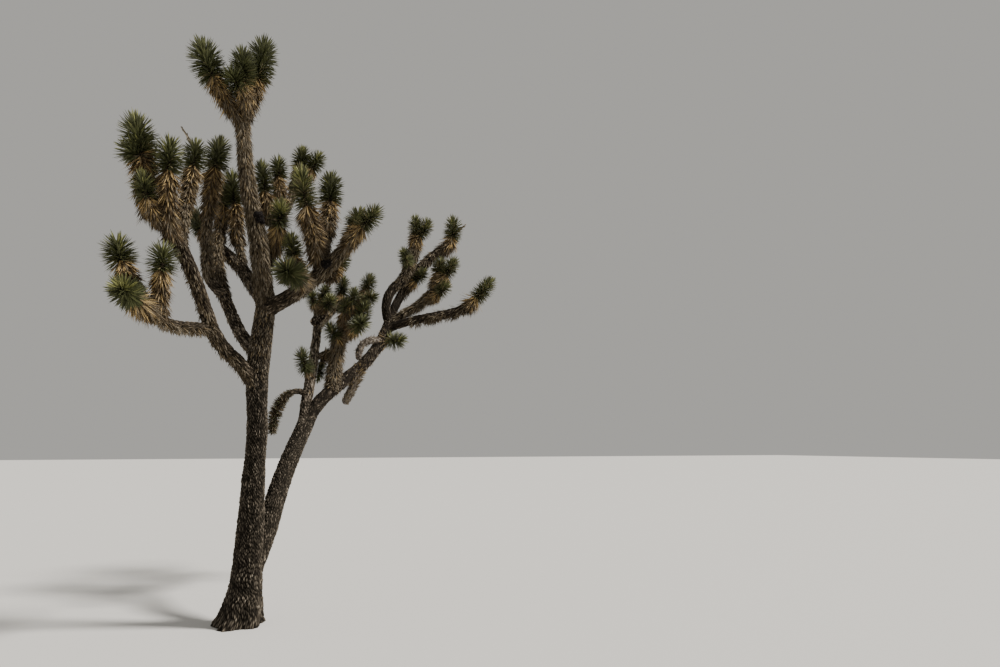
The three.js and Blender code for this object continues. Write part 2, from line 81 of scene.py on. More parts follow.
def fillRamp(ramp, places, colours):
    while len(ramp.elements) < len(places):
        ramp.elements.new(0.5)
    for element, place, colour in zip(ramp.elements, places, colours):
        element.position, element.color = place, (*colour, 1)


# Noise over an object's own coordinates, in metres
def addNoise(material, scale, detail):
    nodes = material.node_tree.nodes
    place, noise = nodes.new("ShaderNodeTexCoord"), nodes.new("ShaderNodeTexNoise")
    noise.inputs["Scale"].default_value, noise.inputs["Detail"].default_value = scale, detail
    material.node_tree.links.new(place.outputs["Object"], noise.inputs["Vector"])
    return noise


# Puts corners, quads and triangles into a mesh as whole arrays, with its values per corner
def makePiece(name, corners, quads, triangles, material, values=None, smooth=True):
    mesh = bpy.data.meshes.new(name)
    loops = np.concatenate([quads.ravel(), triangles.ravel()]).astype(np.int32)
    starts = np.concatenate([np.arange(len(quads)) * 4,
                             len(quads) * 4 + np.arange(len(triangles)) * 3]).astype(np.int32)
    mesh.vertices.add(len(corners))
    mesh.vertices.foreach_set("co", corners.astype(np.float32).ravel())
    mesh.loops.add(len(loops))
    mesh.loops.foreach_set("vertex_index", loops)
    mesh.polygons.add(len(starts))
    mesh.polygons.foreach_set("loop_start", starts)
    mesh.polygons.foreach_set("use_smooth", np.full(len(starts), smooth))
    for key, data in (values or {}).items():
        layer = mesh.attributes.new(key, "FLOAT", "POINT")
        layer.data.foreach_set("value", data.astype(np.float32).ravel())
    mesh.update(calc_edges=True)
    mesh.validate()
    mesh.materials.append(material)
    piece = bpy.data.objects.new(name, mesh)
    bpy.context.collection.objects.link(piece)
    return piece


def unit(vectors):
    return vectors / np.linalg.norm(vectors, axis=-1, keepdims=True)


def blend(low, high, share):
    return low + (high - low) * share


def smoothStep(low, high, value):
    share = np.clip((value - low) / (high - low), 0, 1)
    return share * share * (3 - 2 * share)


def spread(values, share):  # values evenly spaced from 0 to 1, straight between them
    return np.interp(share, np.linspace(0, 1, len(values)), values)


hashBy = dict(column=127.1, row=311.7, seed=74.7, wave=43758.5453)  # any large uneven numbers do


def scatter(column, row, seed):  # the same number from 0 to 1 for the same column, row and seed
    turn = column * hashBy["column"] + row * hashBy["row"] + seed * hashBy["seed"]
    wave = np.sin(turn) * hashBy["wave"]
    return wave - np.floor(wave)


# Soft uneven values on a lattice that closes round the limb: the four corners' numbers are
# blended by smooth steps across the cell.
def drift(column, row, around, seed):
    left, low = np.floor(column), np.floor(row)
    fx, fy = smoothStep(0, 1, column - left), smoothStep(0, 1, row - low)
    corner = [[scatter((left + i) % around, low + j, seed) for i in (0, 1)] for j in (0, 1)]
    return blend(blend(corner[0][0], corner[0][1], fx), blend(corner[1][0], corner[1][1], fx), fy)


# Plates between fissures: each cell of a lattice has one point in it at random, and the height
# rises from 0 where two points are equally near to 1 well inside one point's own plate. The rows
# wind up round the limb, by some whole number of rows in one turn. plateSpot says where in its cell
# a point may lie, how wide the flat floor of a fissure is, and a gap wider than any.
plateSpot = dict(column=0.15, columnSpan=0.7, row=0.1, rowSpan=0.8, seam=0.03, far=9.0)


def plates(column, row, around, seed, fissure, wind=0, spot=plateSpot):
    row = row + column * wind / around
    left, low = np.floor(column), np.floor(row)
    nearest = second = np.full(np.shape(column), spot["far"])
    own = np.zeros(np.shape(column))
    for i in (-1, 0, 1):
        for j in (-1, 0, 1):
            cell = (left + i) % around, low + j - (left + i) // around * wind
            gapX = left + i + spot["column"] + spot["columnSpan"] * scatter(*cell, seed) - column
            gapY = low + j + spot["row"] + spot["rowSpan"] * scatter(*cell, seed + 1) - row
            gap = np.hypot(gapX, gapY)
            own = np.where(gap < nearest, scatter(*cell, seed + 2), own)
            second = np.minimum(second, np.maximum(nearest, gap))
            nearest = np.minimum(nearest, gap)
    return smoothStep(spot["seam"], fissure, second - nearest), own


# A path: short equal steps from the foot, each a unit direction from the heading, turned about
# Z from +X, and the rise above level. Its cross directions lean least on the way it bends.
def walk(foot, spec, step=5, fewest=8):
    count = max(fewest, round(spec["length"] / step))
    share = (np.arange(count) + 0.5) / count
    turn, lift = np.radians(spread(spec["heading"], share)), np.radians(spread(spec["rise"], share))
    stride = np.stack([np.cos(lift) * np.cos(turn), np.cos(lift) * np.sin(turn), np.sin(lift)], 1)
    points = np.vstack([foot, foot + np.cumsum(stride * spec["length"] * mm / count, axis=0)])
    ahead = unit(np.gradient(points, axis=0))
    steady = np.linalg.svd(ahead, full_matrices=False)[2][2]
    across = unit(steady - ahead * (ahead @ steady)[:, None])
    return dict(points=points, ahead=ahead, across=across, length=spec["length"])


# The place, direction and cross directions of a path at shares of its length
def placeOn(path, share):
    step = np.clip(share, 0, 1) * (len(path["points"]) - 1)
    low = np.minimum(step.astype(int), len(path["points"]) - 2)
    rest = (step - low)[..., None]
    point, ahead, across = (blend(path[key][low], path[key][low + 1], rest)
                            for key in ("points", "ahead", "across"))
    ahead = unit(ahead)
    across = unit(across - ahead * (across * ahead).sum(-1, keepdims=True))
    return point, ahead, across, np.cross(ahead, across)


# Directions straight out from a path all round it, a ring of them at each of its places
def allRound(across, up, sides):
    around = np.arange(sides) / sides * 2 * math.pi
    return across[:, None] * np.cos(around)[None, :, None] + up[:, None] * np.sin(around)[None, :, None]


endsOwn = [0.5, 0.5]  # a grid's two middle corners have no plate's own number


# Faces of a grid that closes round: quads between rings, and a fan on each end's middle corner
def gridFaces(rings, sides, first=0):
    ring, side = np.meshgrid(np.arange(rings - 1), np.arange(sides), indexing="ij")
    after = (side + 1) % sides
    quads = np.stack([ring * sides + side, ring * sides + after,
                      (ring + 1) * sides + after, (ring + 1) * sides + side], -1).reshape(-1, 4)
    edge = np.arange(sides)
    after = (edge + 1) % sides
    last = (rings - 1) * sides
    foot = np.stack([after, edge, np.full(sides, rings * sides)], 1)
    tip = np.stack([last + edge, last + after, np.full(sides, rings * sides + 1)], 1)
    return quads + first, np.vstack([foot, tip]) + first


# Daggers: three-sided rings at shares of the length, each a share of the width across, and a
# needle tip. The flat side is up and a keel below, and the tip is bent along that side.
leafRings = [(0, 0.66), (0.32, 1.0), (0.74, 0.6)]
deadRings = [(0, 0.70), (0.52, 1.0)]
keelShare = 0.34  # of the width


def daggers(root, heading, side, length, width, bend, rings):
    face = np.cross(heading, side)
    half, keel = (width * 0.5)[:, None], (width * keelShare)[:, None]
    corners = []
    for place, share in rings:
        middle = root + heading * (length * place)[:, None] + face * (bend * length * place ** 2)[:, None]
        corners += [middle + side * half * share, middle - side * half * share, middle - face * keel * share]
    corners.append(root + heading * length[:, None] + face * (bend * length)[:, None])
    shape = [[0, 2, 1]]
    for first in range(0, 3 * len(rings) - 3, 3):
        for a, b in ((0, 1), (1, 2), (2, 0)):
            shape += [[first + a, first + b, first + b + 3], [first + a, first + b + 3, first + a + 3]]
    last, tip = 3 * len(rings) - 3, 3 * len(rings)
    shape += [[last, last + 1, tip], [last + 1, last + 2, tip], [last + 2, last, tip]]
    triangles = (np.arange(len(root)) * (tip + 1))[:, None, None] + np.array(shape)
    return np.stack(corners, 1).reshape(-1, 3), triangles.reshape(-1, 3)


# Limbs and masses, grown by the rule of the part's source. on and at say where a foot lies on its
# parent; heading, rise and girth are even steps from foot to tip, straight between them. green is
# the length of a shoot with live leaves, skirt the length under it with dead ones, leaf a leaf's.
limbs = dict(
    trunk=dict(
        length=2990, heading=[0, 0], rise=[80, 89, 90, 88, 95, 86, 86],
        girth=[250, 245, 225, 190, 188, 205, 180]),
    leader=dict(
        on="trunk", at=1, length=2000, heading=[160, 159, 162, 156, 156], rise=[78, 81, 75, 82, 83],
        girth=[165, 155, 140, 125, 112]),
    left_bough=dict(
        on="trunk", at=0.71, length=1660, heading=[208, 214, 222, 215, 201],
        rise=[60, 33, 65, 63, 51], girth=[132, 126, 120, 112]),
    left_arm=dict(
        on="left_bough", at=0.45, length=630, heading=[215, 227, 235], rise=[-8, -4, 28],
        girth=[88, 80]),
    inner_left_bough=dict(
        on="trunk", at=0.82, length=830, heading=[143, 140, 148], rise=[37, 57, 68],
        girth=[124, 112]),
    inner_left_branch=dict(
        on="inner_left_bough", at=1, length=940, heading=[202, 183, 111, 91], rise=[24, 83, 86, 80],
        girth=[98, 84]),
    back_left_bough=dict(
        on="trunk", at=0.985, length=1300, heading=[125, 119, 131, 149], rise=[45, 45, 37, 35],
        girth=[124, 112, 98]),
    right_bough=dict(
        on="trunk", at=0.975, length=1020, heading=[320, 328, 324], rise=[17, 36, 47],
        girth=[156, 136, 114]),
    back_right_bough=dict(
        on="leader", at=0.13, length=1210, heading=[81, 76, 75], rise=[43, 49, 64], girth=[102, 88]),
    second_stem=dict(
        on="trunk", at=0.135, length=1870, heading=[36, 68, 65, 59], rise=[60, 58, 46, 47],
        girth=[205, 192, 182, 170]),
    second_stem_left_bough=dict(
        on="second_stem", at=0.94, length=1430, heading=[87, 69, 70, 73], rise=[58, 66, 73, 74],
        girth=[132, 115, 92]),
    second_stem_right_bough=dict(
        on="second_stem", at=1, length=1930, heading=[46, 34, 36, 38, 48],
        rise=[56, 37, 34, 51, 61], girth=[152, 146, 134]),
    column_bough=dict(
        on="second_stem_right_bough", at=0.27, length=680, heading=[62, 48], rise=[76, 82],
        girth=[138, 150, 142]),
    upper_left_arm=dict(
        on="second_stem_right_bough", at=0.985, length=1220, heading=[186, 34, 5, 33, 33],
        rise=[70, 77, 41, 73, 68], girth=[104, 132, 156]),
    upper_middle_arm=dict(
        on="second_stem_right_bough", at=0.99, length=1540, heading=[56, 30, 24, 7],
        rise=[62, 55, 52, 37], girth=[104, 124, 112]),
    upper_right_arm=dict(
        on="second_stem_right_bough", at=0.96, length=770, heading=[8, -8, -11], rise=[44, 31, 56],
        girth=[100, 122]),
    far_right_arm=dict(
        on="second_stem_right_bough", at=0.93, length=1140, heading=[345, 341, 338, 347],
        rise=[24, 13, 9, 36], girth=[100, 112, 120, 104]),
    crossing_branch=dict(
        on="second_stem_left_bough", at=0.62, length=220, heading=[10, 5], rise=[32, 26],
        girth=[66, 58]),
    drooping_dead_limb=dict(
        on="second_stem_left_bough", at=0.29, length=790, heading=[218, 222, 218],
        rise=[30, -25, -66, -93], girth=[70, 54, 46], dead=True),
    curled_dead_limb=dict(
        on="second_stem_right_bough", at=0.81, length=550, heading=[225, 210, 205],
        rise=[15, -29, -111], girth=[92, 84, 74], dead=True),
    hanging_dead_limb=dict(
        on="second_stem_right_bough", at=0.54, length=510, heading=[242, 218, 185],
        rise=[-54, -67, -59], girth=[100, 94, 84], dead=True),
)
masses = dict(
    top_left=dict(
        on="leader", at=1, length=780, heading=[191, 189, 194], rise=[51, 53, 72], green=270,
        skirt=460, leaf=156),
    top_right=dict(
        on="leader", at=1, length=930, heading=[38, 32, 26], rise=[73, 78, 84], green=380,
        skirt=410, leaf=150),
    top_front=dict(
        on="leader", at=0.99, length=650, heading=[290, 240, 216], rise=[58, 79, 82], green=250,
        skirt=280, leaf=120,
        forks=[dict(at=0.42, length=195, heading=[215, 215], rise=[30, 52], green=120, skirt=60)]),
    left_high=dict(
        on="left_bough", at=1, length=1070, heading=[166, 179, 182], rise=[38, 83, 72], green=280,
        skirt=480, leaf=142,
        forks=[dict(at=0.73, length=100, heading=[165, 165], rise=[20, 40], green=75, skirt=15)]),
    left_middle=dict(
        on="left_bough", at=1, length=770, heading=[217, 242, 267], rise=[70, 85, 82], green=200,
        skirt=560, leaf=120),
    left_front=dict(
        on="left_bough", at=0.99, length=540, heading=[205, 195, 185], rise=[35, 60, 80], green=170,
        skirt=200, leaf=90),
    left_inner=dict(
        on="left_bough", at=0.9, length=1170, heading=[99, 84, 53], rise=[58, 72, 88], green=200,
        skirt=420, leaf=100),
    inner_left=dict(
        on="inner_left_branch", at=1, length=745, heading=[54, 37, 25], rise=[87, 85, 80],
        green=250, skirt=460, leaf=122),
    inner_back=dict(
        on="inner_left_bough", at=0.97, length=1320, heading=[124, 92, 64], rise=[54, 72, 88],
        green=170, skirt=350, leaf=90),
    far_left=dict(
        on="left_arm", at=1, length=700, heading=[168, 152, 180], rise=[52, 52, 77], green=140,
        skirt=240, leaf=124),
    arm_middle=dict(
        on="left_arm", at=0.81, length=570, heading=[250, 273, 266], rise=[58, 75, 93], green=140,
        skirt=340, leaf=116),
    arm_tip=dict(
        on="left_arm", at=1, length=450, heading=[235, 251], rise=[19, 13], green=150, skirt=230,
        leaf=112),
    back_left=dict(
        on="back_left_bough", at=1, length=370, heading=[144, 144], rise=[48, 56], green=190,
        skirt=110, leaf=112),
    centre_back=dict(
        on="back_left_bough", at=0.46, length=1140, heading=[104, 135, 187], rise=[50, 80, 80],
        green=280, skirt=400, leaf=118),
    behind_leader=dict(
        on="back_right_bough", at=0.67, length=850, heading=[138, 151, 181], rise=[69, 74, 83],
        green=280, skirt=330, leaf=102),
    right_back=dict(
        on="back_right_bough", at=1, length=670, heading=[105, 132, 161], rise=[79, 78, 86],
        green=170, skirt=330, leaf=96),
    right_back_pair=dict(
        on="back_right_bough", at=1, length=950, heading=[46, 55, 57], rise=[59, 67, 87], green=150,
        skirt=300, leaf=106,
        forks=[dict(at=0.5, length=440, heading=[350, 338], rise=[48, 66], green=140, skirt=180)]),
    centre_front=dict(
        on="back_right_bough", at=0.42, length=550, heading=[281, 285, 277], rise=[24, 51, 88],
        green=180, skirt=220, leaf=110),
    right_inner=dict(
        on="right_bough", at=0.38, length=690, heading=[85, 105, 134], rise=[50, 57, 82], green=190,
        skirt=220, leaf=95),
    right_high=dict(
        on="right_bough", at=0.65, length=1000, heading=[191, 180, 179], rise=[83, 73, 80],
        green=320, skirt=500, leaf=115),
    right_middle=dict(
        on="right_bough", at=0.72, length=1120, heading=[86, 77, 86], rise=[56, 71, 84], green=240,
        skirt=340, leaf=118),
    right_shoot=dict(
        on="right_bough", at=0.55, length=490, heading=[245, 236, 232], rise=[-10, -4, 7],
        green=160, skirt=120, leaf=125),
    right_end=dict(
        on="right_bough", at=1, length=475, heading=[333, 340, 345], rise=[54, 51, 52], green=180,
        skirt=260, leaf=102,
        forks=[dict(at=0.08, length=460, heading=[62, 40], rise=[50, 68], green=160, skirt=180)]),
    right_low=dict(
        on="right_bough", at=0.62, length=690, heading=[57, 63, 50], rise=[14, 26, 61], green=170,
        skirt=260, leaf=85),
    second_left_top=dict(
        on="second_stem_left_bough", at=1, length=430, heading=[76, 13], rise=[77, 72], green=130,
        skirt=90, leaf=82,
        forks=[dict(at=0.12, length=270, heading=[305, 320], rise=[40, 56], green=110, skirt=20),
               dict(at=0.12, length=290, heading=[212, 200], rise=[60, 74], green=120, skirt=20)]),
    second_left_side=dict(
        on="second_stem_left_bough", at=0.92, length=740, heading=[38, 23, 31], rise=[44, 55, 93],
        green=170, skirt=180, leaf=90),
    column_top=dict(
        on="column_bough", at=1, length=885, heading=[19, 21, 8], rise=[57, 62, 74], green=130,
        skirt=320, leaf=92,
        forks=[dict(at=0.64, length=160, heading=[330, 330], rise=[12, 24], green=100, skirt=30)]),
    column_middle=dict(
        on="column_bough", at=1, length=580, heading=[306, 310, 330], rise=[68, 63, 81], green=120,
        skirt=240, leaf=88,
        forks=[dict(at=0.2, length=330, heading=[270, 300], rise=[58, 78], green=110, skirt=120)]),
    column_front=dict(
        on="column_bough", at=0.83, length=560, heading=[328, 329, 352], rise=[44, 53, 67],
        green=150, skirt=200, leaf=108,
        forks=[dict(at=0.45, length=210, heading=[296, 306], rise=[8, 26], green=110, skirt=40),
               dict(at=0.12, length=200, heading=[196, 188], rise=[28, 62], green=120, skirt=50)]),
    second_left_low=dict(
        on="second_stem_left_bough", at=0.45, length=320, heading=[239, 213], rise=[32, 78],
        green=200, skirt=60, leaf=92),
    second_left_hanging=dict(
        on="crossing_branch", at=1, length=310, heading=[172, 150], rise=[-58, -84],
        green=140, skirt=140, leaf=80),
    second_knee=dict(
        on="second_stem_right_bough", at=0.86, length=240, heading=[341, 324], rise=[-39, 14],
        green=140, skirt=30, leaf=112),
    upper_left=dict(
        on="upper_left_arm", at=1, length=450, heading=[16, 14], rise=[77, 96], green=230,
        skirt=170, leaf=102,
        forks=[dict(at=0.42, length=270, heading=[338, 345], rise=[38, 72], green=190, skirt=50)]),
    upper_left_low=dict(
        on="upper_left_arm", at=0.77, length=240, heading=[248, 220], rise=[20, 58], green=160,
        skirt=40, leaf=92),
    upper_middle_low=dict(
        on="upper_middle_arm", at=0.45, length=270, heading=[326, 341], rise=[26, 52], green=140,
        skirt=80, leaf=98),
    upper_middle=dict(
        on="upper_middle_arm", at=1, length=500, heading=[3, 1, 1], rise=[29, 70, 100], green=230,
        skirt=200, leaf=125),
    upper_right=dict(
        on="upper_right_arm", at=1, length=530, heading=[349, 352, 353], rise=[48, 58, 61],
        green=200, skirt=200, leaf=104,
        forks=[dict(at=0.07, length=480, heading=[42, 56], rise=[56, 74], green=140, skirt=200)]),
    upper_right_low=dict(
        on="upper_right_arm", at=0.83, length=340, heading=[306, 350], rise=[-4, 64], green=140,
        skirt=120, leaf=92),
    far_right=dict(
        on="far_right_arm", at=1, length=430, heading=[345, 355], rise=[40, 57], green=280,
        skirt=110, leaf=112),
)
masses = {"foliage_" + name: mass for name, mass in masses.items()}

# Feet and paths of all limbs. One that carries on from a tip starts a little inside it.
seatDepth = 30


def footOf(spec, paths):
    parent = paths[spec["on"]]
    share = min(spec["at"], 1 - seatDepth / parent["length"])
    return placeOn(parent, np.array([share]))[0][0]


paths = {}
for name, spec in limbs.items():
    paths[name] = walk(footOf(spec, paths) if "on" in spec else np.zeros(3), spec)

# Bark finishes: the colour follows the relief, from painted shade in a fissure to a plate's top, lighter
# with a painted highlight as well as wear, and each plate, and each broad blotch, is a little lighter or
# darker than the next
barkLook = dict(fissure=(0.007, 0.0055, 0.0035), side=(0.022, 0.018, 0.013),
                plate=(0.098, 0.082, 0.062), worn_and_lit=(0.345, 0.305, 0.250), places=[0.12, 0.42, 0.72, 0.98],
                blotch=3.2, blotchDetail=4, blotchShare=0.45, tints=[0.2, 0.8], shades=[0.55, 1.35],
                grain=260, grainDetail=3, bump=0.5, bumpDeep=0.002, roughness=0.95)


def barkMaterial(name, look):
    material, nodes, links, shader = makeMaterial(name, look["roughness"])
    relief, own = nodes.new("ShaderNodeAttribute"), nodes.new("ShaderNodeAttribute")
    relief.attribute_name, own.attribute_name = "relief", "own"
    # The ramp by relief paints shade into the fissures and a highlight, together with wear, onto the plate
    # tops
    ramp = nodes.new("ShaderNodeValToRGB")
    fillRamp(ramp.color_ramp, look["places"],
             [look[tone] for tone in ("fissure", "side", "plate", "worn_and_lit")])
    grain = addNoise(material, look["grain"], look["grainDetail"])
    blotch = addNoise(material, look["blotch"], look["blotchDetail"])
    tint = nodes.new("ShaderNodeMix")
    tint.data_type = "FLOAT"
    tint.inputs[0].default_value = look["blotchShare"]
    links.new(own.outputs["Fac"], tint.inputs[2])
    links.new(blotch.outputs["Fac"], tint.inputs[3])
    shade = nodes.new("ShaderNodeMapRange")
    shade.inputs["From Min"].default_value, shade.inputs["From Max"].default_value = look["tints"]
    shade.inputs["To Min"].default_value, shade.inputs["To Max"].default_value = look["shades"]
    links.new(tint.outputs[0], shade.inputs["Value"])
    colour = nodes.new("ShaderNodeVectorMath")
    colour.operation = "SCALE"
    links.new(relief.outputs["Fac"], ramp.inputs["Fac"])
    links.new(ramp.outputs["Color"], colour.inputs[0])
    links.new(shade.outputs["Result"], colour.inputs["Scale"])
    links.new(colour.outputs["Vector"], shader.inputs["Base Color"])
    bump = nodes.new("ShaderNodeBump")
    bump.inputs["Strength"].default_value = look["bump"]
    bump.inputs["Distance"].default_value = look["bumpDeep"]
    links.new(grain.outputs["Fac"], bump.inputs["Height"])
    links.new(bump.outputs["Normal"], shader.inputs["Normal"])
    return material


# What the bark of a kind of limb is like. Plates stand in columns round the limb, on wider ridges,
# and both sway; fine grain and broad swells lie over them. Plates at the trunk's foot are longer,
# by the stretch there.
barkCut = dict(gridRound=3.3, gridAlong=7.6, plateWide=10, plateTall=37, fissure=0.55, lowPlate=0.72,
               wander=1.8, wind=0.42, ridgeWide=28, ridgeTall=160, ridgeFissure=0.75, ridgeWander=0.12,
               ridgeShare=1 / 3, sways=6, swayTall=0.6, fine=[3, 5], fineShare=0.19, swells=5,
               swellTall=160, swell=0.04, depth=22, middle=0.55, collar=0.26, collarReach=90,
               footStretch=0.6, carriedTip=0.3, tipEnd=0.985, least=1.5)
stemCut = {**barkCut, "ridgeTall": 150, "depth": 19, "wind": 0.36}
boughCut = {**barkCut, "gridRound": 4.6, "gridAlong": 6.5, "plateWide": 15, "plateTall": 50,
            "ridgeWide": 34, "depth": 15, "ridgeShare": 4 / 9}
deadCut = {**boughCut, "plateTall": 28, "ridgeTall": 70, "depth": 7, "collar": 0.1}
flare = dict(width=180, height=230, lobes=5, lobeDepth=0.3, turn=100)


# A limb's skin: a grid of rings along the path, each corner at the limb's radius there plus the
# relief of its plates. The tip is rounded off like a ball, less so where another limb carries on,
# and the foot swells into its parent.
def growBark(name, spec, cut, material, seed):
    path, level = paths[name], "on" not in spec
    rings = round(spec["length"] / cut["gridAlong"]) + 1
    girth = max(spec["girth"])
    sides = round(math.pi * girth / cut["gridRound"])
    share = np.linspace(0, 1, rings)
    turn = np.arange(sides) / sides
    point, _, across, up = placeOn(path, share)
    if level:
        across, up = np.tile([1.0, 0, 0], (rings, 1)), np.tile([0, 1.0, 0], (rings, 1))
    run = share * spec["length"]
    radius = spread(spec["girth"], share) / 2
    columns, ridges = [max(6, round(math.pi * np.mean(spec["girth"]) / cut[kind]))
                       for kind in ("plateWide", "ridgeWide")]
    tall = run + (cut["footStretch"] * flare["height"] * np.exp(-run / flare["height"]) if level else 0)
    row, column = np.meshgrid(tall / cut["plateTall"], turn * columns, indexing="ij")
    sway = drift(column / columns * cut["sways"], row * cut["swayTall"], cut["sways"], seed) - 0.5
    height, own = plates(column + cut["wander"] * sway, row, columns, seed + 3, cut["fissure"],
                         round(columns * cut["wind"]))
    ridge, _ = plates((column / columns + cut["ridgeWander"] * sway) * ridges,
                      row * cut["plateTall"] / cut["ridgeTall"], ridges, seed + 6, cut["ridgeFissure"], 1)
    fineRound, fineAlong = cut["fine"]
    fine = drift(column * fineRound, row * fineAlong, columns * fineRound, seed + 5)
    broad = drift(column / columns * cut["swells"], run[:, None] / cut["swellTall"] + 0 * column,
                  cut["swells"], seed + 9)
    plate = height * blend(cut["lowPlate"], 1, own)
    relief = blend(blend(plate, ridge, cut["ridgeShare"]), fine, cut["fineShare"])
    wide = np.tile(radius[:, None], (1, sides))
    if level:
        around = turn * 2 * math.pi * flare["lobes"] - math.radians(flare["turn"])
        wide += (flare["width"] / 2 * np.exp(-run / flare["height"]))[:, None] * (
            1 + flare["lobeDepth"] * np.cos(around))
    else:
        parent = limbs[spec["on"]]
        carriesOn = spec["at"] * parent["length"] > parent["length"] - 2 * seatDepth
        collar = parent["girth"][-1] / spec["girth"][0] - 1 if carriesOn else cut["collar"]
        wide *= (1 + max(collar, 0) * np.exp(-run / cut["collarReach"]))[:, None]
        carried = any(other.get("on") == name and other["at"] == 1 for other in limbs.values())
        rounding = radius[-1] * (cut["carriedTip"] if carried else 1)
        ball = np.clip((run - (spec["length"] - rounding)) / rounding, 0, cut["tipEnd"])
        wide *= np.sqrt(1 - ball ** 2)[:, None]
    wide = wide + cut["depth"] * (relief - cut["middle"]) + cut["swell"] * girth * (broad - 0.5)
    wide = np.maximum(wide, cut["least"]) * mm
    corners = (point[:, None] + allRound(across, up, sides) * wide[..., None]).reshape(-1, 3)
    if level:
        corners[:sides, 2] = 0
    quads, fans = gridFaces(rings, sides)
    corners = np.vstack([corners, point[0], point[-1]])
    ends = [relief[0].mean(), relief[-1].mean()]
    values = dict(relief=np.append(relief.ravel(), ends), own=np.append(own.ravel(), endsOwn))
    piece = makePiece(name + "_bark", corners, quads, fans, material, values)
    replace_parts(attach(piece, "root"), name)
    return piece


# Copies of the bough bark that paint light and shade in: the dark one is painted shade, for the second
# crown's shaded limbs and a joint; the pale one and the inner bough one are painted light, lighter for
# boughs that lie in shade
barkTones = {
    "trunk bark": {},
    "thatched bark": dict(side=(0.030, 0.023, 0.015), plate=(0.098, 0.079, 0.057),
                          worn_and_lit=(0.300, 0.255, 0.200)),
    "shaded bark": dict(side=(0.016, 0.012, 0.008), plate=(0.060, 0.049, 0.036),
                      worn_and_lit=(0.230, 0.195, 0.155)),
    "lit bark": dict(side=(0.045, 0.036, 0.026), plate=(0.210, 0.178, 0.140),
                      worn_and_lit=(0.400, 0.355, 0.295)),
    "half lit bark": dict(side=(0.045, 0.036, 0.026), plate=(0.165, 0.138, 0.105)),
    "dark knots": dict(side=(0.004, 0.003, 0.003), plate=(0.009, 0.007, 0.007),
                       worn_and_lit=(0.025, 0.020, 0.018)),
    "weathered dead wood": dict(fissure=(0.030, 0.024, 0.019), side=(0.110, 0.093, 0.078),
                                plate=(0.230, 0.205, 0.180), worn_and_lit=(0.400, 0.370, 0.335)),
}
barks = {name: barkMaterial(name, {**barkLook, **tones}) for name, tones in barkTones.items()}
limbBarks = dict(trunk="trunk bark", second_stem="trunk bark", second_stem_left_bough="lit bark",
                 second_stem_right_bough="shaded bark", upper_left_arm="shaded bark",
                 upper_middle_arm="shaded bark", far_right_arm="shaded bark", inner_left_bough="lit bark",
                 inner_left_branch="half lit bark", back_left_bough="half lit bark",
                 back_right_bough="half lit bark", curled_dead_limb="weathered dead wood",
                 hanging_dead_limb="weathered dead wood")
limbCuts = dict(trunk=barkCut, second_stem=stemCut, drooping_dead_limb=deadCut, curled_dead_limb=deadCut,
                hanging_dead_limb=deadCut)
for number, (name, spec) in enumerate(limbs.items()):
    growBark(name, spec, limbCuts.get(name, boughCut), barks[limbBarks.get(name, "thatched bark")], number)
print("bark covers the trunk and limbs")

# Dark knots and a swollen joint: uneven balls with the bark's relief, set off a limb's axis on
# the side of a heading. size is along the limb, across it and outwards.
knots = dict(
    leader_knot=dict(on="leader", at=0.44, heading=302, out=84, size=[56, 46, 44],
                     bark="dark knots"),
    right_bough_knot=dict(on="right_bough", at=0.78, heading=250, out=60, size=[54, 44, 44],
                          bark="dark knots"),
    # the joint takes the darker bark copy, which paints shade in
    left_bough_joint=dict(on="second_stem_left_bough", at=0.985, heading=200, out=6,
                          size=[96, 66, 66], bark="shaded bark"),
)
knotGrid = dict(rings=26, sides=40, ends=[0.06, 0.94], columns=14, rows=2.5, fissure=0.5, depth=7,
                lobes=5, lobeRows=1.6, lump=0.9, endRelief=0.4)


def growKnot(name, knot, seed, grid=knotGrid):
    point, ahead, _, _ = (value[0] for value in placeOn(paths[knot["on"]], np.array([knot["at"]])))
    turn = math.radians(knot["heading"])
    out = np.array([math.cos(turn), math.sin(turn), 0])
    out = unit(out - ahead * (out @ ahead))
    across = np.cross(out, ahead)
    fall, around = np.meshgrid(np.linspace(*grid["ends"], grid["rings"]) * math.pi,
                               np.arange(grid["sides"]) / grid["sides"], indexing="ij")
    height, own = plates(around * grid["columns"], fall * grid["rows"], grid["columns"], seed,
                         grid["fissure"])
    lumps = drift(around * grid["lobes"], fall * grid["lobeRows"], grid["lobes"], seed + 2) - 0.5
    wide = 1 + grid["lump"] * lumps + grid["depth"] / knot["size"][1] * (height - 0.5)
    ball = np.stack([-np.cos(fall), np.sin(fall) * np.cos(around * 2 * math.pi),
                     np.sin(fall) * np.sin(around * 2 * math.pi)], -1) * wide[..., None]
    middle = point + out * knot["out"] * mm
    corners = np.vstack([ball.reshape(-1, 3), [[-1, 0, 0], [1, 0, 0]]]) * np.array(knot["size"]) * mm
    corners = middle + corners @ np.stack([ahead, across, np.cross(ahead, across)])
    quads, fans = gridFaces(grid["rings"], grid["sides"])
    values = dict(relief=np.append(height.ravel(), [grid["endRelief"]] * 2),
                  own=np.append(own.ravel(), endsOwn))
    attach(makePiece(name, corners, quads, fans, barks[knot["bark"]], values), "root")


for number, (name, knot) in enumerate(knots.items()):
    growKnot(name, knot, 40 + number)

leafReach = 22  # a leaf's tip reaches its length and this much off the shoot's axis
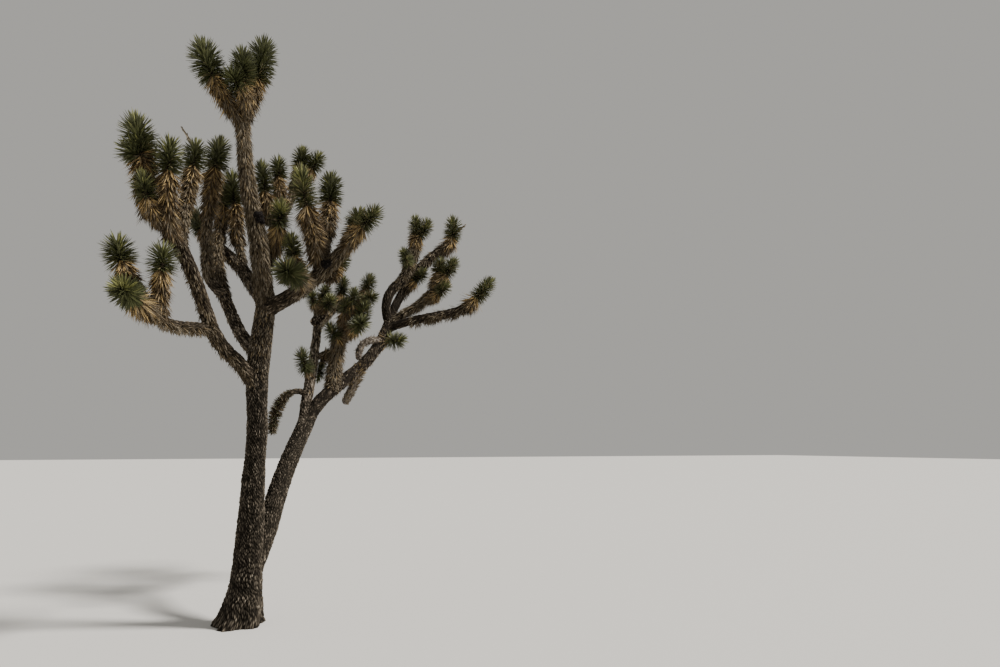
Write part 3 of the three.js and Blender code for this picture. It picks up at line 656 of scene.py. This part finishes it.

# Masses of another make: how many more young leaves (which also paint sunlight), deep leaves (which also
# paint shade) and faded leaves a head has, shares of its skirt's count, reach and kinds (the brown one also
# paints shade), and the girth of its bare stem
massesOwn = dict(
    top_left=dict(young=-0.25, reach=0.88),
    top_right=dict(young=-0.25, reach=0.88),
    top_front=dict(young=-0.25, reach=0.85),
    left_high=dict(young=0.2, gold=0.7, tan=0.7, brown=1.6, girth=90),
    left_middle=dict(young=0.5, tan=0.5, brown=2.1, grey=0.6, girth=84),
    left_front=dict(young=1.4),
    left_inner=dict(gold=0.6, brown=1.5, girth=84),
    inner_left=dict(brown=1.3),
    inner_back=dict(deep_and_shaded=2, girth=110),
    far_left=dict(young=0.3, reach=0.85, gold=0.8, tan=0.7, brown=1.6),
    arm_middle=dict(count=0.9, reach=0.85, gold=1.1, brown=1.4),
    arm_tip=dict(young=2.2, gold=1.4),
    back_left=dict(deep_and_shaded=3),
    centre_back=dict(gold=0.4, brown=1.5),
    behind_leader=dict(gold=0.4, brown=1.5),
    right_back=dict(count=1.2, brown=1.4),
    centre_front=dict(young=2, count=1.7, reach=1.25),
    right_inner=dict(young=1.6, count=1.7, reach=1.3),
    right_high=dict(young=1.2, faded=0.6, count=1.5, reach=1.22, gold=0.4, tan=0.8, brown=1.8),
    right_middle=dict(young=-0.1, gold=0.7, brown=1.4),
    right_shoot=dict(young=0.5, deep_and_shaded=3, faded=0.5, count=0.6, gold=0.15, tan=0.7, grey=2),
    right_end=dict(faded=0.4),
    right_low=dict(faded=0.4, count=1.2, reach=1.1),
    second_left_top=dict(young=0.7, faded=0.3, count=0.5, gold=0.3),
    second_left_side=dict(deep_and_shaded=0.3, faded=0.4),
    column_top=dict(deep_and_shaded=0.6, faded=0.6, gold=0.3, tan=0.6, brown=1.4),
    column_middle=dict(deep_and_shaded=1.2, faded=0.4, gold=0.3, tan=0.6, brown=1.4),
    column_front=dict(young=-0.1, deep_and_shaded=1.4, faded=0.3, brown=1.6),
    second_left_low=dict(young=-0.4, deep_and_shaded=2.6, faded=0.4, count=0.5, reach=0.6, gold=0, brown=1.8),
    second_left_hanging=dict(count=0.4, reach=0.55, gold=0.3, brown=1.5),
    second_knee=dict(young=0.6, reach=1.15),
    upper_left=dict(deep_and_shaded=-0.2, faded=0.5, reach=1.25),
    upper_left_low=dict(faded=0.3),
    upper_middle_low=dict(faded=0.3, reach=1.2),
    upper_middle=dict(deep_and_shaded=-0.2, faded=0.5, reach=1.2),
    upper_right=dict(deep_and_shaded=-0.2, faded=0.5, reach=1.3),
    upper_right_low=dict(deep_and_shaded=-0.3, faded=0.5),
    far_right=dict(deep_and_shaded=-0.4, faded=0.6, reach=1.25),
)

# A shoot's own stem: its girth at the foot, under the skirt, in the head and in the bud, its bark,
# and the old leaves where it is bare
stemLook = dict(girth=66, skirtGirth=58, headGirth=25.2, budGirth=9, bud=0.08, end=0.985, rings=9,
                fewestRings=12, sides=14, plateTall=26, fissure=0.4, depth=4, fullDepth=30,
                palest=[0.15, 0.65], endRelief=[0.5, 0.5], leastBare=0.01, bare=1500,
                shortestBare=30, leaf=72)


# Shoots of a mass: the first grows on its limb, its forks on the first
def shootsOf(name):
    own = massesOwn.get(name.removeprefix("foliage_"), {})
    shared = dict(own=own, girth=own.get("girth", stemLook["girth"]), leaf=masses[name]["leaf"])
    first = {**shared, **masses[name], "path": walk(footOf(masses[name], paths), masses[name])}
    forks = []
    for fork in masses[name].get("forks", []):
        foot = placeOn(first["path"], np.array([fork["at"]]))[0][0]
        forks.append({**shared, **fork, "path": walk(foot, fork)})
    return [first, *forks]


shoots = [shoot for name in masses for shoot in shootsOf(name)]

# Places inside the limbs, where no leaf may end
limbStep = 6
limbPoints = np.vstack([path["points"][::limbStep] for path in paths.values()])
limbRadii = np.concatenate([
    spread(limbs[name]["girth"], np.linspace(0, 1, len(path["points"])))[::limbStep]
    for name, path in paths.items()]) / 2 * mm


# Tells which places are outside all limbs, or no deeper in one than the spare, in metres
def clearOfLimbs(places, spare=0.004, batch=4000):
    clear = np.ones(len(places), bool)
    for start in range(0, len(places), batch):
        gap = np.linalg.norm(places[start:start + batch, None] - limbPoints[None], axis=2)
        clear[start:start + batch] = (gap > limbRadii - spare).all(1)
    return clear


piles = {}  # the leaves of each kind, as corners and triangles

# How many of the young leaves stay, which paints sunlight on leaves that face up: the share at level, which
# the rise adds to, the least and most
sunlitShare, fewestSunlit, mostSunlit = 0.55, 0.1, 1.5


# Deals those leaves that are kept out over kinds: each kind has a weight, which changes with the
# part of the way that a leaf stands at, and a leaf takes the kind its number falls in. leaves are
# the roots, headings, sides, lengths, widths and bends. Young ones, which also carry painted sunlight, are
# fewer where a leaf points down.
def deal(rng, weights, kept, part, *leaves):
    part, leaves = part[kept], [value[kept] for value in leaves]
    heading, kinds = leaves[1], list(weights)
    share = np.array([spread(weights[kind], part) for kind in kinds])
    if "leaves_young" in weights:
        share[kinds.index("leaves_young")] *= np.clip(sunlitShare + heading[:, 2], fewestSunlit, mostSunlit)
    edges = np.cumsum(share / share.sum(0), axis=0)
    pick = (rng.random(len(part)) > edges).sum(0)
    for number, kind in enumerate(kinds):
        chosen = pick == number
        if chosen.any():
            rings = leafRings if kind.startswith("leaves") else deadRings
            piles.setdefault(kind, []).append(daggers(*[value[chosen] for value in leaves], rings))


# Directions straight out from a path, turned about its way
def outward(across, up, turn):
    return across * np.cos(turn)[:, None] + up * np.sin(turn)[:, None]


# Old leaves: each leans off the path's way by its angle and is drawn down by some of the sag, and
# its flat side is turned a little at random
def droop(rng, ahead, out, angle, sag, twist):
    heading = ahead * np.cos(angle)[:, None] + out * np.sin(angle)[:, None]
    heading = unit(heading + np.array([0, 0, -1]) * sag * rng.random(len(angle))[:, None])
    side = unit(np.cross(heading, out) + twist * rng.normal(0, 1, (len(angle), 3)))
    return heading, unit(side - heading * (side * heading).sum(1)[:, None])


# How far a shoot's leaves reach in millimetres, their widths, which grow with its leaf's length
# from a least one, and their bends
def leafSizes(rng, shoot, look, count):
    reach = (shoot["leaf"] + leafReach) * blend(look["shortest"], look["longest"], rng.random(count))
    width = (shoot["leaf"] * look["width"] + look["leastWidth"]) * blend(*look["widths"], rng.random(count))
    return reach, width * mm, rng.normal(look["bend"], look["bendJitter"], count)


headLook = dict(fewest=104, perMillimetre=0.92, zone=0.97, tipAngle=6, lowestAngle=118, opening=0.45,
                jitter=7, turn=137.5, turnJitter=14, shortest=0.96, longest=1.17, bend=0.05,
                bendJitter=0.03, youngest=0.88, width=0.104, leastWidth=3.5, widths=[0.85, 1.15],
                growing=5, sunk=12, leastSunk=0.15, sinking=6)
skirtLook = dict(fewest=80, perMillimetre=2.0, zone=0.99, topAngle=125, footAngle=151, closing=0.5,
                 jitter=9.6, shortest=0.75, longest=1.25, bend=-0.08, bendJitter=0.06, width=0.075,
                 leastWidth=3.5, widths=[0.8, 1.15], sag=0.9, twist=0.3, sunk=24, spare=0.012)
# Weights of each kind of leaf from the bud to the oldest, and from the skirt's top to its foot. The deep
# leaves, a darker green that also paints shade, weigh more towards the oldest, lower in the head.
greens = dict(leaves_young=[0.4, 0.16, 0.08, 0.04, 0.0], leaves_green=[1, 1.2, 1, 0.8, 0.6],
              leaves_deep_and_shaded=[0.2, 0.9, 1.3, 1.5, 1.2], leaves_faded=[0, 0, 0, 0.1, 0.5])
moreGreens = dict(young=[1, 0.75, 0.5, 0.25, 0], deep_and_shaded=[1, 1, 1, 1, 1], faded=[0.2, 0.6, 1, 1, 1])
# The dark brown skirt leaves are a dead leaf's brown that also paints shade, more towards the skirt's foot
deads = dict(skirt_gold=[1.3, 0.8, 0.3, 0.12, 0.05], skirt_tan=[0.8, 1.0, 0.8, 0.5, 0.4],
             skirt_brown=[0.5, 0.8, 1.1, 1.2, 1.2], skirt_grey=[0.1, 0.4, 0.8, 1.1, 1.3])


# Live leaves: turned about the shoot by the golden angle, standing further out from its axis with
# age, all with their tips at about one reach, so that a head is a round brush
def growHead(shoot, seed, look=headLook):
    rng = np.random.default_rng(seed)
    count = look["fewest"] + round(shoot["green"] * look["perMillimetre"])
    part = (np.arange(count) + 0.5) / count
    share = 1 - part * look["zone"] * shoot["green"] / shoot["length"]
    point, ahead, across, up = placeOn(shoot["path"], share)
    turn = np.radians(np.arange(count) * look["turn"] + rng.uniform(-1, 1, count) * look["turnJitter"])
    out = outward(across, up, turn)
    swing = rng.normal(0, look["jitter"], count)
    angle = np.radians(blend(look["tipAngle"], look["lowestAngle"], part ** look["opening"]) + swing)
    heading = unit(ahead * np.cos(angle)[:, None] + out * np.sin(angle)[:, None])
    side = unit(np.cross(ahead, out))
    sunk = look["sunk"] * np.clip(part * look["sinking"], look["leastSunk"], 1)
    reach, width, bend = leafSizes(rng, shoot, look, count)
    length = (reach * blend(look["youngest"], 1, np.clip(part * look["growing"], 0, 1)) - sunk) * mm
    root = point + out * (sunk * mm)[:, None]
    reached = heading * length[:, None]
    clear = clearOfLimbs(root + reached) & clearOfLimbs(root + reached / 2)
    weights = {kind: np.array(values, float) for kind, values in greens.items()}
    for kind, fading in moreGreens.items():
        more = shoot["own"].get(kind, 0) * np.array(fading)
        weights["leaves_" + kind] = np.maximum(weights["leaves_" + kind] + more, 0)
    deal(rng, weights, clear, part, root, heading, side, length, width, bend)


# Dead leaves: bent back from the shoot's way, more so further down, and drawn a little by weight
def growSkirt(shoot, seed, look=skirtLook):
    rng = np.random.default_rng(seed)
    own = shoot["own"]
    count = round((look["fewest"] + shoot["skirt"] * look["perMillimetre"]) * own.get("count", 1))
    part = (np.arange(count) + 0.5) / count
    share = 1 - (shoot["green"] + part * look["zone"] * shoot["skirt"]) / shoot["length"]
    point, ahead, across, up = placeOn(shoot["path"], share)
    out = outward(across, up, rng.random(count) * 2 * math.pi)
    swing = rng.normal(0, look["jitter"], count)
    angle = np.radians(blend(look["topAngle"], look["footAngle"], part ** look["closing"]) + swing)
    heading, side = droop(rng, ahead, out, angle, look["sag"], look["twist"])
    root = point + out * look["sunk"] * mm
    reach, width, bend = leafSizes(rng, shoot, look, count)
    length = reach * own.get("reach", 1) * mm
    clear = clearOfLimbs(root + heading * length[:, None], look["spare"])
    weights = {kind: np.array(values) * own.get(kind.removeprefix("skirt_"), 1)
               for kind, values in deads.items()}
    deal(rng, weights, clear, part, root, heading, side, length, width, bend)


# Weights of each kind of old leaf from the stretch's end back to its start
thatchWeights = dict(thatch_brown=[1, 1, 1], thatch_grey=[0.8, 0.9, 1], skirt_tan=[0.5, 0.1, 0.0])
goldWeights = dict(skirt_gold=[0, 0, 0.05, 0.25, 0.25], skirt_tan=[0, 0, 0.3, 1, 1],
                   thatch_brown=[0.3, 0.3, 0.5, 0.9, 1], thatch_grey=[1.5, 1.5, 1.2, 0.3, 0])
stiffWeights = dict(leaves_deep_and_shaded=[0.45, 0.4, 0.3], thatch_brown=[1, 1.2, 1.4], thatch_grey=[0.5, 0.5, 0.6])
paleWeights = dict(thatch_brown=[0.5, 0.5, 0.5], thatch_grey=[1.6, 1.6, 1.4], skirt_tan=[0.9, 0.6, 0.4])
# More brown and less grey thatch: painted shade, for limbs that lie in shade
shadeWeights = dict(thatch_brown=[1, 1.2, 1.2], thatch_grey=[0.6, 0.5, 0.4])
leaderWeights = dict(thatch_brown=[1, 1.1, 1.3], thatch_grey=[0.8, 0.8, 0.6], skirt_tan=[0.5, 0.1, 0.0])
# Where the limbs still carry old leaves: a stretch from start to end, their length and angle along
# it, how much of them only the underside has, and how much they stand in tufts
thatchLook = dict(start=0, end=1, perMetre=800, leaf=[70], width=8.5, angle=[160], jitter=8, sag=0.15,
                  below=0, tufts=0, weights=thatchWeights, gather=1, twist=0.25, sunk=0.94,
                  lengths=[0.55, 1.15], widths=[0.7, 1.2], bend=-0.06, bendJitter=0.06,
                  tuftsRound=3, tuftTall=70, tuftEdge=[0.35, 0.65], underEdge=[-0.3, 0.6])
thatchOn = dict(
    trunk=dict(start=0.7, perMetre=1400, leaf=[34, 56], width=7, angle=[168], sag=0, gather=0.7),
    leader=dict(perMetre=2100, leaf=[84, 92], width=8, angle=[162], jitter=6, weights=leaderWeights),
    left_bough=dict(perMetre=1100, leaf=[52], angle=[142], jitter=18, sag=0.9, below=1,
                    weights=shadeWeights),
    left_arm=dict(perMetre=1700, leaf=[66], angle=[125], jitter=22, sag=1.4, below=1),
    inner_left_bough=dict(start=0.1, perMetre=700, leaf=[42], sag=0.5, below=0.6),
    inner_left_branch=dict(start=0.25, perMetre=1500, leaf=[62], angle=[162]),
    back_left_bough=dict(start=0.2, perMetre=1300, leaf=[74], sag=0.8, below=0.7),
    right_bough=dict(start=0.3, perMetre=1300, leaf=[56, 66], sag=0.9, gather=0.8, below=0.8,
                     weights=shadeWeights),
    back_right_bough=dict(start=0.1, perMetre=1400, leaf=[80]),
    second_stem_left_bough=dict(start=0.3, perMetre=300, leaf=[45], below=0.3, weights=paleWeights),
    second_stem_right_bough=dict(start=0.25, perMetre=500, leaf=[50], angle=[150], sag=0.6,
                                 below=0.7, weights=shadeWeights),
    column_bough=dict(perMetre=2400, leaf=[62, 84, 84], angle=[146], jitter=16, sag=0.3,
                      weights=paleWeights),
    upper_left_arm=dict(start=0.4, perMetre=1500, leaf=[60, 84], angle=[157], sag=0.4, gather=0.55,
                        weights=shadeWeights),
    upper_middle_arm=dict(start=0.3, perMetre=1700, leaf=[82], angle=[146], sag=0.9, gather=0.7,
                          below=0.5, tufts=0.6, weights=shadeWeights),
    upper_right_arm=dict(start=0.15, perMetre=1800, leaf=[84], angle=[148], sag=0.7, below=0.3,
                         tufts=0.6),
    far_right_arm=dict(start=0.25, perMetre=2900, leaf=[88], angle=[132], jitter=20, sag=1.3,
                       gather=0.7, below=0.9, tufts=0.85, weights=shadeWeights),
    crossing_branch=dict(start=0.3, perMetre=600, leaf=[34], sag=0.4, weights=shadeWeights),
    drooping_dead_limb=dict(start=0.3, perMetre=2100, leaf=[18, 44, 66, 62, 46],
                            angle=[84, 84, 84, 45], jitter=18, sag=0.15, gather=0.8,
                            weights=stiffWeights),
    curled_dead_limb=dict(start=0.15, end=0.95, perMetre=450, leaf=[40], angle=[146], jitter=18,
                          sag=0.6),
    hanging_dead_limb=dict(end=0.97, perMetre=2000, leaf=[70, 66, 40, 34],
                           angle=[128, 132, 156, 158], jitter=18, sag=0.2, weights=goldWeights),
)


# Old leaves that still lie back along a stretch of limb or bare shoot, from a start to an end
def growThatch(path, girth, look, seed):
    rng = np.random.default_rng(seed)
    count = int(look["perMetre"] * (path["length"] * (look["end"] - look["start"]) * mm))
    part = rng.random(count) ** look["gather"]
    share = blend(look["start"], look["end"], part)
    point, ahead, across, up = placeOn(path, share)
    turn = rng.random(count) * 2 * math.pi
    out = outward(across, up, turn)
    angle = np.radians(spread(look["angle"], part) + rng.normal(0, look["jitter"], count))
    heading, side = droop(rng, ahead, out, angle, look["sag"], look["twist"])
    root = point + out * (spread(girth, share) / 2 * look["sunk"] * mm)[:, None]
    length = spread(look["leaf"], part) * blend(*look["lengths"], rng.random(count)) * mm
    width = look["width"] * blend(*look["widths"], rng.random(count)) * mm
    bend = rng.normal(look["bend"], look["bendJitter"], count)
    tuft = smoothStep(*look["tuftEdge"], drift(turn / (2 * math.pi) * look["tuftsRound"],
                                               share * path["length"] / look["tuftTall"],
                                               look["tuftsRound"], seed))
    under = blend(1, smoothStep(*look["underEdge"], -out[:, 2]), look["below"])
    kept = rng.random(count) < under * blend(1, tuft, look["tufts"])
    deal(rng, look["weights"], kept, 1 - part, root, heading, side, length, width, bend)


for number, (name, look) in enumerate(thatchOn.items()):
    growThatch(paths[name], limbs[name]["girth"], {**thatchLook, **look}, 900 + number)
print("old leaves lie on the limbs")

# Dry stalks in two heads: two long daggers set crosswise, with broken stubs along them
stalks = [dict(on="foliage_left_inner", at=0.97, heading=160, rise=59, length=288, girth=26, stubs=7),
          dict(on="foliage_upper_middle", at=0.6, heading=-20, rise=41, length=260, girth=46, stubs=4)]
stubLook = dict(along=[0.45, 0.95], lean=1.1, lengths=[0.1, 0.2], girth=0.6, bend=np.array([0.05]))


def growStalk(stalk, seed, look=stubLook):
    rng = np.random.default_rng(seed)
    count, mass = stalk["stubs"], masses[stalk["on"]]
    root = placeOn(walk(footOf(mass, paths), mass), np.array([stalk["at"]]))[0]
    turn, lift = math.radians(stalk["heading"]), math.radians(stalk["rise"])
    ahead = np.array([[math.cos(lift) * math.cos(turn), math.cos(lift) * math.sin(turn), math.sin(lift)]])
    side = unit(np.cross(ahead, [[0, 0, 1]]))
    length, width = np.array([stalk["length"] * mm]), np.array([stalk["girth"] * mm])
    for edge in (side, np.cross(side, ahead)):
        piles["thatch_grey"].append(daggers(root, ahead, edge, length, width, look["bend"], deadRings))
    roots = root + ahead * np.linspace(*look["along"], count)[:, None] * length
    leans = unit(ahead + look["lean"] * rng.normal(0, 1, (count, 3)))
    lengths, widths = length * rng.uniform(*look["lengths"], count), width * np.full(count, look["girth"])
    piles["thatch_grey"].append(daggers(roots, leans, unit(np.cross(leans, side)), lengths, widths,
                                        np.zeros(count), deadRings))


for number, stalk in enumerate(stalks):
    growStalk(stalk, 70 + number)


# The shoot's own stem, slimmer under its leaves and pointed in the bud
def stemOf(shoot, seed, bareShare, first, look=stemLook):
    length, sides = shoot["length"], look["sides"]
    rings = max(look["fewestRings"], round(length / look["rings"]))
    share = np.linspace(0, 1, rings)
    live = shoot["green"] / length
    girth = np.interp(share, [0, max(bareShare, look["leastBare"]), 1 - live, 1 - look["bud"] * live, 1],
                      [shoot["girth"], shoot["girth"], look["skirtGirth"], look["headGirth"],
                       look["budGirth"]])
    point, _, across, up = placeOn(shoot["path"], share * look["end"])
    row, column = np.meshgrid(share * length / look["plateTall"], np.arange(sides) / 2, indexing="ij")
    height, own = plates(column, row, sides // 2, seed, look["fissure"])
    depth = look["depth"] * np.minimum(1, girth[:, None] / look["fullDepth"])
    wide = (girth[:, None] / 2 + depth * (height - 0.5)) * mm
    corners = (point[:, None] + allRound(across, up, sides) * wide[..., None]).reshape(-1, 3)
    quads, fans = gridFaces(rings, sides, first)
    return (np.vstack([corners, point[:1], point[-1:]]), quads, fans,
            np.append(blend(*look["palest"], height.ravel()), look["endRelief"]),
            np.append(own.ravel(), endsOwn))


stemParts, stemCount = [], 0
for number, shoot in enumerate(shoots):
    growHead(shoot, 100 + number)
    growSkirt(shoot, 300 + number)
    bareShare = 1 - (shoot["green"] + shoot["skirt"]) / shoot["length"]
    if bareShare * shoot["length"] > stemLook["shortestBare"]:
        growThatch(shoot["path"], [shoot["girth"]],
                   {**thatchLook, "end": bareShare, "perMetre": stemLook["bare"],
                    "leaf": [stemLook["leaf"]]}, 500 + number)
    stemParts.append(stemOf(shoot, number, bareShare, stemCount))
    stemCount += len(stemParts[-1][0])
stemCorners, stemQuads, stemFans, stemHeight, stemOwn = (np.concatenate(part) for part in zip(*stemParts))
stems = makePiece("shoot_stems", stemCorners, stemQuads, stemFans, barks["thatched bark"],
                  dict(relief=stemHeight, own=stemOwn))
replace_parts(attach(stems, "root"), *masses)
print("shoots grow:", len(shoots))

# Leaf finishes: one plain base colour for each kind, a little lighter and darker from place to
# place, on a dull waxy surface. The young colour also paints sunlight, and the deep green and the skirt's
# dark brown also paint shade.
leafColours = dict(
    leaves_young=(0.240, 0.248, 0.092), leaves_green=(0.100, 0.108, 0.046),
    leaves_deep_and_shaded=(0.051, 0.057, 0.023), leaves_faded=(0.165, 0.145, 0.075),
    skirt_gold=(0.405, 0.290, 0.130), skirt_tan=(0.230, 0.172, 0.096),
    skirt_brown=(0.062, 0.040, 0.017), skirt_grey=(0.130, 0.106, 0.072),
    thatch_brown=(0.060, 0.044, 0.023), thatch_grey=(0.168, 0.140, 0.098))
leafFinish = dict(scale=14, detail=3, places=[0.3, 0.7], shades=[0.72, 1.35], green=0.48, dead=0.8)


def leafMaterial(name, base):
    rough = leafFinish["green"] if name.startswith("leaves") else leafFinish["dead"]
    material, nodes, links, shader = makeMaterial(name.replace("_", " "), rough)
    noise = addNoise(material, leafFinish["scale"], leafFinish["detail"])
    ramp = nodes.new("ShaderNodeValToRGB")
    fillRamp(ramp.color_ramp, leafFinish["places"],
             [[c * shade for c in base] for shade in leafFinish["shades"]])
    links.new(noise.outputs["Fac"], ramp.inputs["Fac"])
    links.new(ramp.outputs["Color"], shader.inputs["Base Color"])
    return material


mostFaces = 190000  # in one piece
for kind, colour in leafColours.items():
    material, pile = leafMaterial(kind, colour), piles[kind]
    parts, size = [[]], 0
    for corners, triangles in pile:
        if size + len(triangles) > mostFaces:
            parts.append([])
            size = 0
        parts[-1].append((corners, triangles))
        size += len(triangles)
    for number, part in enumerate(parts):
        firsts = np.cumsum([0] + [len(corners) for corners, _ in part[:-1]])
        piece = makePiece(kind if number == 0 else f"{kind}_{number + 1}",
                          np.vstack([corners for corners, _ in part]), np.zeros((0, 4), int),
                          np.vstack([triangles + first for (_, triangles), first in zip(part, firsts)]),
                          material, smooth=False)
        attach(piece, "root")
        if not kind.startswith("thatch"):
            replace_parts(piece, *masses)
        print(piece.name, len(piece.data.polygons))

# Floor
reach, below = studio["floorReach"], studio["floorBelow"]
floor = makePiece("floor", np.array([[-reach, -reach, -below], [reach, -reach, -below],
                                     [reach, reach, -below], [-reach, reach, -below]]),
                  np.array([[0, 1, 2, 3]]), np.zeros((0, 3), int), None)
floorMaterial, _, _, floorShader = makeMaterial("floor", studio["floorRoughness"])
floorShader.inputs["Base Color"].default_value = (*studio["floor"], 1)
floor.data.materials.clear()
floor.data.materials.append(floorMaterial)

print("whole tree stands")
